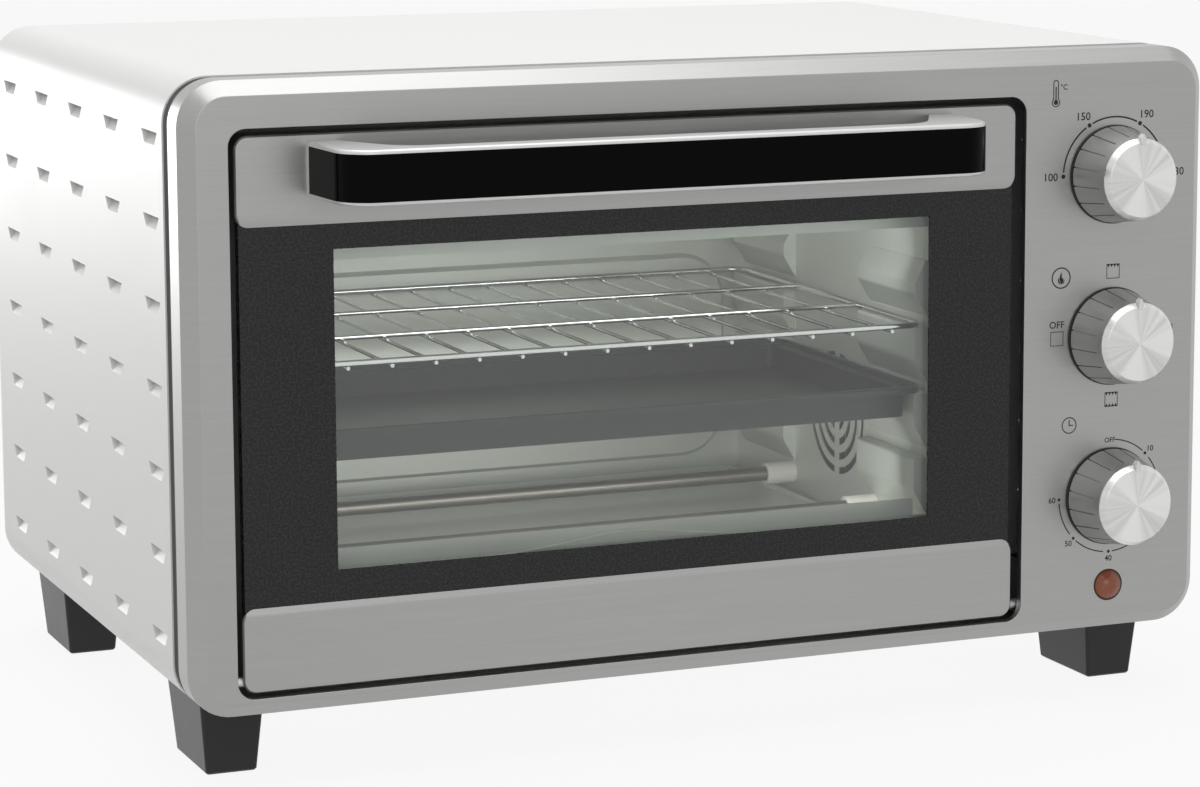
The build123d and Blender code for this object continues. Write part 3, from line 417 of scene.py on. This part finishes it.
rod_sheath = finish(
    "oxidised rod sheath", sheet_grain, (0.3, 0.28, 0.25),
    {"Grain size": 1.0, "Roughness": 0.45, "Roughness change": 0.25, "Contrast": 0.5},
    bump=(0.2, 0.06), Metallic=0.9)
dress(rod_sheath, "lower_heating_rods", "upper_heating_rods")
bush_ceramic = finish(
    "unglazed ceramic", moulded_grain, (0.8, 0.78, 0.72),
    {"Grain size": 0.6, "Roughness": 0.7, "Roughness change": 0.2, "Contrast": 0.12},
    bump=(0.3, 0.1))
softened("rod_bushes", "rod_insulators", 0.0005, bush_ceramic)


# Convection fan
# A pressed wheel on a short shaft turns in a round housing behind the slotted vent in the right
# wall. A shaded-pole motor drives it from the compartment beside the cavity.

fan_sheet = finish(
    "pressed fan sheet", sheet_grain, (0.62, 0.62, 0.6),
    {"Grain size": 1.6, "Roughness": 0.38, "Roughness change": 0.2, "Contrast": 0.15},
    bump=(0.15, 0.06), Metallic=1.0)
softened("fan_wheel_pressing", "fan_wheel", 0.0002, fan_sheet)
motor_sheet = finish(
    "motor casing", sheet_grain, (0.38, 0.38, 0.38),
    {"Grain size": 1.4, "Roughness": 0.45, "Roughness change": 0.2, "Contrast": 0.2},
    bump=(0.2, 0.08), Metallic=1.0)
softened("fan_motor_case", "fan_motor", 0.001, motor_sheet, steps=3)
dress(zinc_sheet, "fan_housing", "fan_shaft")


# Wire rack
# Bright chromed wire. Thin rods run from front to back between thicker rails, and every crossing is
# a resistance weld.

bright_chrome = finish(
    "bright chrome plate", sheet_grain, (0.72, 0.72, 0.72),
    {"Grain size": 1.2, "Roughness": 0.14, "Roughness change": 0.1, "Contrast": 0.1},
    bump=(0.08, 0.05), Metallic=1.0)
dress(bright_chrome, "wire_rack")


# Baking tray
# A drawn steel tray with a flat rim and a rolled edge, under a dark non-stick coat that is slightly
# grained and glossy. Its rim slides on the rails below the rack.

tray_coat = finish(
    "dark non-stick coat", powder_coat, (0.045, 0.048, 0.048),
    {"Grain size": 0.9, "Roughness": 0.36, "Roughness change": 0.15, "Contrast": 0.3},
    bump=(0.25, 0.06), Specular_IOR_Level=0.55)
dress(tray_coat, "baking_tray")


# Door glass
# One pane of clear toughened glass, held by sheet strips behind the two trims. A black border fired
# onto it, with a faint speckle, frames the window.

pane_glass = bpy.data.materials.new("clear door glass")
pane_glass.use_nodes = True
tree = pane_glass.node_tree
shader = tree.nodes["Principled BSDF"]
for socket, value in (
        ("Base Color", (0.93, 0.96, 0.94, 1.0)), ("Roughness", 0.0), ("IOR", 1.5),
        ("Transmission Weight", 1.0), ("Specular IOR Level", 0.7)):
    shader.inputs[socket].default_value = value
smears = noise(tree, put(tree, "TexCoord").outputs["Object"], 40.0, 3.0)
smears = put(tree, "MapRange", {
    "Value": smears, "From Min": 0.45, "From Max": 0.75, "To Min": 0.0, "To Max": 0.035}).outputs[0]
tree.links.new(smears, shader.inputs["Roughness"])


def any_ray(tree, *kinds):
    path = put(tree, "LightPath")
    found = path.outputs[kinds[0]]
    for kind in kinds[1:]:
        found = compute(tree, "MAXIMUM", found, path.outputs[kind])
    return found


light_passing = any_ray(tree, "Is Shadow Ray", "Is Diffuse Ray")
lets_light_in = put(tree, "BsdfTransparent", {"Color": (0.9, 0.93, 0.91, 1.0)})
either = put(tree, "MixShader", {
    0: light_passing, 1: shader.outputs[0], 2: lets_light_in.outputs[0]})
tree.links.new(either.outputs[0], tree.nodes["Material Output"].inputs["Surface"])
dress(pane_glass, "door_glass")

border_print, given, result = new_effect("speckled print", {
    "Grain size": 0.8, "Roughness": 0.3, "Roughness change": 0.1, "Contrast": 1.0})
speck = noise(border_print, given["Vector"], given["Grain size"], 0.0)
speck = put(border_print, "MapRange", {
    "Value": speck, "From Min": 0.42, "From Max": 0.66, "To Min": 0.0, "To Max": 1.0}).outputs[0]
settle(border_print, given, result, speck, speck)
border_black = finish(
    "black fired border", border_print, (0.016, 0.016, 0.017),
    {"Grain size": 0.9, "Roughness": 0.32, "Roughness change": 0.1, "Contrast": 1.1},
    bump=(0.05, 0.02), Specular_IOR_Level=0.3)
dress(border_black, "glass_border")
dress(zinc_sheet, "glass_clamps")


# Door trims
# Two folded strips of brushed stainless steel, one across the top of the door behind the handle and
# one across the foot. They clip over the ends of the glass.

for strip in ("top", "bottom"):
    softened(
        f"brushed_door_{strip}_trim", f"door_{strip}_trim", 0.0004, brushed_steel, least_corner=35)


# Door hinges
# Folded arms inside the bottom trim turn on short steel pins in brackets on the front frame. A
# small coil spring at each side takes some of the door's weight.

dress(zinc_sheet, "hinge_arms", "hinge_pins", "hinge_brackets")
dress(screw_steel, "door_springs", "handle_screws")


# Handle
# A bow moulded in silver-painted plastic and screwed on through the door from behind. A strip of
# gloss black is let into its front.

silver_paint = finish(
    "silver painted plastic", powder_coat, (0.7, 0.7, 0.695),
    {"Grain size": 0.8, "Roughness": 0.34, "Roughness change": 0.1, "Contrast": 0.05},
    bump=(0.08, 0.03), Metallic=0.35)
softened("silver_handle", "door_handle", 0.0003, silver_paint)
gloss_black = finish(
    "gloss black inlay", powder_coat, (0.0015, 0.0015, 0.0015),
    {"Grain size": 2.5, "Roughness": 0.08, "Roughness change": 0.04, "Contrast": 0.2},
    bump=(0.02, 0.02), Specular_IOR_Level=0.04)
softened("black_handle_inlay", "handle_inlay", 0.0003, gloss_black)


# Knob rings
# Flat rings of satin black plastic between the knobs and the panel, which hide the holes for the
# control shafts.

ring_black = finish(
    "satin black ring", moulded_grain, (0.012, 0.012, 0.012),
    {"Grain size": 0.6, "Roughness": 0.4, "Roughness change": 0.15, "Contrast": 0.3},
    bump=(0.15, 0.04), Specular_IOR_Level=0.3)
softened("black_knob_rings", "knob_washers", 0.0003, ring_black)


# Knobs
# Hollow moulded knobs in satin silver paint with sixteen finger grooves. A disc of spun aluminium
# is pressed into the front of each, and a white arrow on its rim shows the setting.

spun_face_painted_fans, given, result = new_effect("spun face with painted highlight fans", {
    "Grain size": 0.3, "Roughness": 0.3, "Roughness change": 0.15, "Contrast": 0.2})
# The lighter and darker fans of colour round each spun face are painted highlight: the colour
# changes with the angle round the knob's axis and stands in for the glints of the spinning marks.
# The fine rings are real relief.
flat = put(spun_face_painted_fans, "VectorMath", {
    0: given["Vector"], 1: (1.0, 0.0, 1.0)}, operation="MULTIPLY").outputs[0]
outward = put(spun_face_painted_fans, "VectorMath", {0: flat}, operation="NORMALIZE").outputs[0]
painted_highlight_fans = put(spun_face_painted_fans, "TexNoise", {
    "Vector": outward, "Scale": 1.7, "Detail": 6.0, "Roughness": 0.6}).outputs["Fac"]
painted_highlight_fans = put(spun_face_painted_fans, "MapRange", {"Value": painted_highlight_fans, "From Min": 0.32, "From Max": 0.56}).outputs[0]
distance = put(spun_face_painted_fans, "VectorMath", {0: flat}, operation="LENGTH").outputs["Value"]
angle_per_metre = compute(spun_face_painted_fans, "DIVIDE", 6283.0, given["Grain size"])
rings = compute(spun_face_painted_fans, "SINE", compute(spun_face_painted_fans, "MULTIPLY", distance, angle_per_metre))
settle(spun_face_painted_fans, given, result, painted_highlight_fans, rings)

skirt_silver = finish(
    "silver knob skirt", moulded_grain, (0.47, 0.47, 0.465),
    {"Grain size": 0.5, "Roughness": 0.33, "Roughness change": 0.1, "Contrast": 0.06},
    bump=(0.08, 0.03), Metallic=0.8)
arrow_white = finish(
    "white arrow", moulded_grain, (0.88, 0.88, 0.88),
    {"Grain size": 0.4, "Roughness": 0.4, "Roughness change": 0.1, "Contrast": 0.04},
    bump=(0.05, 0.02))
for control in ("temperature", "mode", "timer"):
    low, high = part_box(f"{control}_knob_face")
    middle = (low + high) / 2
    # Each face's colour carries the painted highlight fans.
    face_metal_painted_fans = finish(
        f"spun {control} face", spun_face_painted_fans, (0.62, 0.62, 0.612),
        {"Grain size": 0.35, "Roughness": 0.28, "Roughness change": 0.12, "Contrast": 0.34},
        bump=(0.1, 0.02), centre=middle, Metallic=1.0)
    softened(f"{control}_knob_skirt", f"{control}_knob", 0.0003, skirt_silver)
    softened(f"{control}_spun_face_painted_fans", f"{control}_knob_face", 0.0002, face_metal_painted_fans)
    softened(f"{control}_arrow", f"{control}_knob_pointer", 0.0001, arrow_white)
    dress(zinc_sheet, f"{control}_shaft")


# Controls behind the panel
# A capillary thermostat, a rotary switch and a clockwork timer in moulded cases, each held to the
# panel by its neck. A bright sheet keeps the cavity's heat from them.

case_moulding = finish(
    "moulded control case", moulded_grain, (0.3, 0.29, 0.27),
    {"Grain size": 0.9, "Roughness": 0.5, "Roughness change": 0.15, "Contrast": 0.15},
    bump=(0.2, 0.06))
for case in ("thermostat", "mode_switch", "timer"):
    softened(f"{case}_case", case, 0.0006, case_moulding)
bright_sheet = finish(
    "bright heat shield", sheet_grain, (0.72, 0.72, 0.72),
    {"Grain size": 2.0, "Roughness": 0.25, "Roughness change": 0.2, "Contrast": 0.1},
    bump=(0.1, 0.05), Metallic=1.0)
dress(bright_sheet, "heat_shield")
terminal_white = finish(
    "white terminal moulding", moulded_grain, (0.82, 0.81, 0.77),
    {"Grain size": 0.8, "Roughness": 0.45, "Roughness change": 0.1, "Contrast": 0.05},
    bump=(0.15, 0.05))
softened("terminal_moulding", "terminal_block", 0.0005, terminal_white)
softened("lamp_body_moulding", "lamp_body", 0.0004, terminal_white)


# Dial marks
# Figures, dots, arcs and small symbols screen printed in black on the panel round each knob. The
# ink is a film too thin to feel, laid on the brushed steel.

# The same black ink also draws the painted shadow ring round the pilot lamp.
black_print_and_painted_shadow = finish(
    "black print and painted shadow ink", moulded_grain, (0.018, 0.018, 0.019),
    {"Grain size": 0.3, "Roughness": 0.45, "Roughness change": 0.1, "Contrast": 0.25},
    bump=(0.05, 0.01), Specular_IOR_Level=0.3)
panel_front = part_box("front_bezel")[0].y
ink_lift = 0.00004
ink_thickness = 0.6 * ink_lift
upright = Matrix.Rotation(math.pi / 2, 4, "X")


def ink_onto_panel(marks, shape, x, z):
    bmesh.ops.remove_doubles(shape, verts=shape.verts, dist=1e-7)
    bmesh.ops.recalc_face_normals(shape, faces=shape.faces)
    if sum(face.normal.z for face in shape.faces) < 0:
        bmesh.ops.reverse_faces(shape, faces=shape.faces)
    grown = bmesh.ops.extrude_face_region(shape, geom=shape.faces[:])
    lowered = [part for part in grown["geom"] if isinstance(part, bmesh.types.BMVert)]
    bmesh.ops.translate(shape, verts=lowered, vec=(0, 0, -ink_thickness))
    bmesh.ops.recalc_face_normals(shape, faces=shape.faces)
    place = Matrix.Translation((x / 1000, panel_front - ink_lift, z / 1000))
    bmesh.ops.transform(shape, matrix=place @ upright, verts=shape.verts)
    mesh = bpy.data.meshes.new("mark")
    shape.to_mesh(mesh)
    shape.free()
    marks.from_mesh(mesh)
    bpy.data.meshes.remove(mesh)


def figure(marks, text, x, z, height):
    capital_share = 0.7
    curve = bpy.data.curves.new("figure", "FONT")
    curve.body = text
    curve.size = height / 1000 / capital_share
    curve.offset = 0.00004
    curve.align_x = "CENTER"
    curve.resolution_u = 3
    holder = new_object("figure", curve)
    drawn = holder.evaluated_get(bpy.context.evaluated_depsgraph_get())
    mesh = bpy.data.meshes.new_from_object(drawn)
    bpy.data.objects.remove(holder)
    bpy.data.curves.remove(curve)
    shape = bmesh.new()
    shape.from_mesh(mesh)
    bpy.data.meshes.remove(mesh)
    bmesh.ops.translate(shape, verts=shape.verts, vec=(0, -height / 2000, 0))
    ink_onto_panel(marks, shape, x, z)


def dot(marks, x, z, radius):
    shape = bmesh.new()
    bmesh.ops.create_circle(shape, cap_ends=True, radius=radius / 1000, segments=16)
    ink_onto_panel(marks, shape, x, z)


def arc(marks, x, z, radius, start, end, width):
    shape = bmesh.new()
    turn = Matrix.Rotation(-math.radians(start), 3, "Z")
    ends = [
        shape.verts.new(turn @ Vector((0, (radius + side * width / 2) / 1000, 0)))
        for side in (-1, 1)]
    line = shape.edges.new(ends)
    steps = max(2, int(abs(end - start) / 5))
    is_whole_ring = abs(end - start) > 359
    bmesh.ops.spin(
        shape, geom=ends + [line], axis=(0, 0, -1), cent=(0, 0, 0),
        angle=math.radians(end - start), steps=steps, use_merge=is_whole_ring)
    ink_onto_panel(marks, shape, x, z)


def stroke(marks, x, z, points, width):
    corner_overlap = 0.8 * width
    for (x0, z0), (x1, z1) in zip(points, points[1:]):
        shape = bmesh.new()
        length = math.hypot(x1 - x0, z1 - z0) + corner_overlap
        bmesh.ops.create_grid(shape, x_segments=1, y_segments=1, size=0.0005)
        bmesh.ops.scale(shape, verts=shape.verts, vec=(length, width, 1))
        turn = Matrix.Rotation(math.atan2(z1 - z0, x1 - x0), 4, "Z")
        middle = Matrix.Translation(((x0 + x1) / 2000, (z0 + z1) / 2000, 0))
        bmesh.ops.transform(shape, matrix=middle @ turn, verts=shape.verts)
        ink_onto_panel(marks, shape, x, z)


def patch(marks, x, z, points):
    shape = bmesh.new()
    shape.faces.new([shape.verts.new((across / 1000, up / 1000, 0)) for across, up in points])
    ink_onto_panel(marks, shape, x, z)


def oven_sign(marks, x, z, side, toothed_edges=()):
    half = side / 2
    outline = [(-half, -half), (half, -half), (half, half), (-half, half), (-half, -half)]
    stroke(marks, x, z, outline, 0.3)
    for up in toothed_edges:
        root, tip = up * (half + 0.1), up * (half - 1.3)
        for middle in (-2.25, -0.75, 0.75, 2.25):
            patch(marks, x, z, [(middle - 0.75, root), (middle + 0.75, root), (middle, tip)])


def mark_piece(name, marks):
    mesh = bpy.data.meshes.new(name)
    marks.to_mesh(mesh)
    marks.free()
    mesh.materials.append(black_print_and_painted_shadow)
    piece = new_object(name, mesh)
    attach(piece, "casing")


def centre_of(control):
    low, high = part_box(f"{control}_knob_face")
    return (low.x + high.x) * 500, (low.z + high.z) * 500


def round_dial(x, z, angle, across, up):
    lean = math.radians(angle)
    return x + across * math.sin(lean), z + up * math.cos(lean)


scale_radius = 24.4
x, z = centre_of("temperature")
marks = bmesh.new()
for angle, text in ((-90, "100"), (-30, "150"), (30, "190"), (90, "230")):
    dot(marks, *round_dial(x, z, angle, scale_radius, scale_radius), 0.95)
    figure(marks, text, *round_dial(x, z, angle, 30.5, 29.0), 3.3)
for start in (-90, -30, 30):
    arc(marks, x, z, scale_radius, start + 4, start + 56, 0.7)
bulb_x, bulb_z = x - 28.4, z + 31.4
tube_radius, tube_top, line_width = 1.1, 8.2, 0.42
arc(marks, bulb_x, bulb_z, 1.75, 38, 322, line_width)
dot(marks, bulb_x, bulb_z, 1.05)
for across in (-tube_radius, tube_radius):
    stroke(marks, bulb_x, bulb_z, [(across, 1.3), (across, tube_top)], line_width)
arc(marks, bulb_x, bulb_z + tube_top, tube_radius, -90, 90, line_width)
stroke(marks, bulb_x, bulb_z, [(0, 0.8), (0, 6.4)], 0.55)
figure(marks, "°C", x - 24.6, z + 37.8, 2.2)
mark_piece("temperature_marks", marks)

x, z = centre_of("mode")
marks = bmesh.new()
figure(marks, "OFF", x - 26.6, z + 6.3, 2.9)
oven_sign(marks, x - 26.5, z + 0.3, 5.9)
oven_sign(marks, x + 0.2, z + 27.8, 6.0, toothed_edges=(1,))
oven_sign(marks, x + 26.6, z + 0.3, 5.9, toothed_edges=(-1,))
oven_sign(marks, x + 0.2, z - 27.4, 6.0, toothed_edges=(1, -1))
flame_x, flame_z = x - 24.8, z + 26.2
arc(marks, flame_x, flame_z, 4.3, 0, 360, 0.55)
for tongue in (
        ((0.1, -2.7), (0.95, -2.0), (1.15, -1.0), (0.95, -0.2), (0.65, 0.3), (0.55, -0.5),
         (0.3, 0.3), (0.35, 1.3), (-0.1, 2.7), (-0.35, 1.5), (-0.75, 0.4), (-0.85, -0.7)),
        ((-0.1, -2.7), (-1.0, -0.9), (-1.2, 0.3), (-1.6, -0.7), (-1.4, -1.8), (-0.8, -2.5)),
        ((0.4, -2.7), (1.1, -2.3), (1.6, -1.4), (1.45, -0.3), (1.3, -1.2), (1.05, -2.0))):
    patch(marks, flame_x, flame_z, tongue)
mark_piece("mode_marks", marks)

x, z = centre_of("timer")
marks = bmesh.new()
figure(marks, "OFF", x - 0.1, z + 24.3, 2.1)
for angle, text in ((45, "10"), (90, "20"), (135, "30"), (180, "40"), (225, "50"), (270, "60")):
    dot(marks, *round_dial(x, z, angle, scale_radius, scale_radius), 0.7)
    figure(marks, text, *round_dial(x, z, angle, 27.8, 27.3), 2.4)
    arc(marks, x, z, scale_radius, angle - 39, angle - 4, 0.5)
clock_x, clock_z = x - 20.0, z + 31.9
arc(marks, clock_x, clock_z, 3.35, 0, 360, 0.45)
stroke(marks, clock_x, clock_z, [(0, 2.2), (0, 0), (1.7, 0)], 0.45)
mark_piece("timer_marks", marks)


# Pilot lamp
# A domed lens moulded in clear amber plastic, which snaps into the panel from the front. The dark
# line round its flange is painted shadow, a thin ring of the black print ink on the panel.

lens_amber = finish(
    "amber lens", moulded_grain, (0.3, 0.075, 0.03),
    {"Grain size": 2.2, "Roughness": 0.3, "Roughness change": 0.1, "Contrast": 0.5},
    bump=(0.1, 0.05), Specular_IOR_Level=0.2, Coat_Weight=0.6, Coat_Roughness=0.03)
softened("amber_lamp_lens", "lamp_lens", 0.0003, lens_amber)
low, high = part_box("lamp_lens")
x, z = (low.x + high.x) * 500, (low.z + high.z) * 500
flange_radius = 6.6
# A ring of black ink round the flange: painted shadow.
painted_shadow_ring = bmesh.new()
arc(painted_shadow_ring, x, z, flange_radius, 0, 360, 0.6)
mark_piece("lamp_shadow_line", painted_shadow_ring)


# Studio
# A pale floor in white light from all round, with a broad soft lamp above and a weaker one in
# front. Two more lamps show only in reflections, and two small ones light the cavity.

world = bpy.data.worlds.new("studio")
bpy.context.scene.world = world
world.use_nodes = True
tree = world.node_tree
background = tree.nodes["Background"]
lighting_level, seen_level = 0.42, 1.0
seen = any_ray(tree, "Is Camera Ray", "Is Glossy Ray", "Is Transmission Ray")
level = put(tree, "MapRange", {"Value": seen, "To Min": lighting_level, "To Max": seen_level})
background.inputs["Color"].default_value = (1.0, 1.0, 1.0, 1.0)
tree.links.new(level.outputs[0], background.inputs["Strength"])

floor_mesh = bpy.data.meshes.new("studio_floor")
sheet = bmesh.new()
bmesh.ops.create_grid(sheet, x_segments=1, y_segments=1, size=6.0)
sheet.to_mesh(floor_mesh)
sheet.free()
floor = new_object("studio_floor", floor_mesh)
floor_pale = bpy.data.materials.new("pale floor")
floor_pale.use_nodes = True
tree = floor_pale.node_tree
shader = tree.nodes["Principled BSDF"]
shader.inputs["Base Color"].default_value = (0.8, 0.8, 0.8, 1.0)
shader.inputs["Roughness"].default_value = 0.8
shader.inputs["Specular IOR Level"].default_value = 0.2
glow_share = 0.9
seen = any_ray(tree, "Is Camera Ray", "Is Glossy Ray", "Is Transmission Ray")
share = compute(tree, "MULTIPLY", seen, glow_share)
glow = put(tree, "Emission", {"Color": (1.0, 1.0, 1.0, 1.0), "Strength": 1.0})
both = put(tree, "MixShader", {0: share, 1: shader.outputs[0], 2: glow.outputs[0]})
tree.links.new(both.outputs[0], tree.nodes["Material Output"].inputs["Surface"])
floor_mesh.materials.append(floor_pale)


def soft_lamp(name, place, aim, width, height, power, only_in_reflections=False):
    lamp = bpy.data.lights.new(name, "AREA")
    lamp.shape = "RECTANGLE"
    lamp.size, lamp.size_y, lamp.energy = width, height, power
    holder = new_object(name, lamp)
    holder.location = place
    holder.rotation_euler = (Vector(aim) - Vector(place)).to_track_quat("-Z", "Y").to_euler()
    holder.visible_camera = False
    holder.visible_transmission = False
    holder.visible_diffuse = not only_in_reflections


soft_lamp("lamp_above", (-0.1, 0.0, 1.6), (0, 0, 0.1), 1.6, 1.3, 12.5)
soft_lamp(
    "lamp_above_right", (0.5, -0.2, 1.5), (0, 0, 0.1), 1.0, 0.9, 0.9, only_in_reflections=True)
soft_lamp(
    "lamp_back_left", (-0.9, 1.5, 0.25), (-0.2, -0.1, 0.03), 0.9, 0.5, 8.0,
    only_in_reflections=True)
soft_lamp("lamp_front", (-0.4, -2.0, 0.7), (0, -0.1, 0.12), 1.2, 0.9, 4.0)
soft_lamp("lamp_in_cavity_top", (-0.035, -0.104, 0.2), (-0.035, 0.08, 0.15), 0.24, 0.02, 0.1)
soft_lamp("lamp_in_cavity_low", (-0.035, -0.104, 0.1), (-0.035, 0.08, 0.08), 0.24, 0.02, 0.09)

camera = new_object("camera", bpy.data.cameras.new("camera"))
camera.location = (-0.6073, -1.52355, 0.4052)
looks_down, looks_right = 8.476, 23.625
camera.rotation_euler = (math.radians(90 - looks_down), 0, math.radians(-looks_right))
focal_length_in_pixels, picture_width, sensor_width = 3764.9, 1200, 36.0
camera.data.sensor_width = sensor_width
camera.data.lens = focal_length_in_pixels / picture_width * sensor_width
camera.data.shift_x = -0.1
camera.data.shift_y = -0.07
bpy.context.scene.camera = camera
bpy.context.scene.view_settings.view_transform = "Standard"
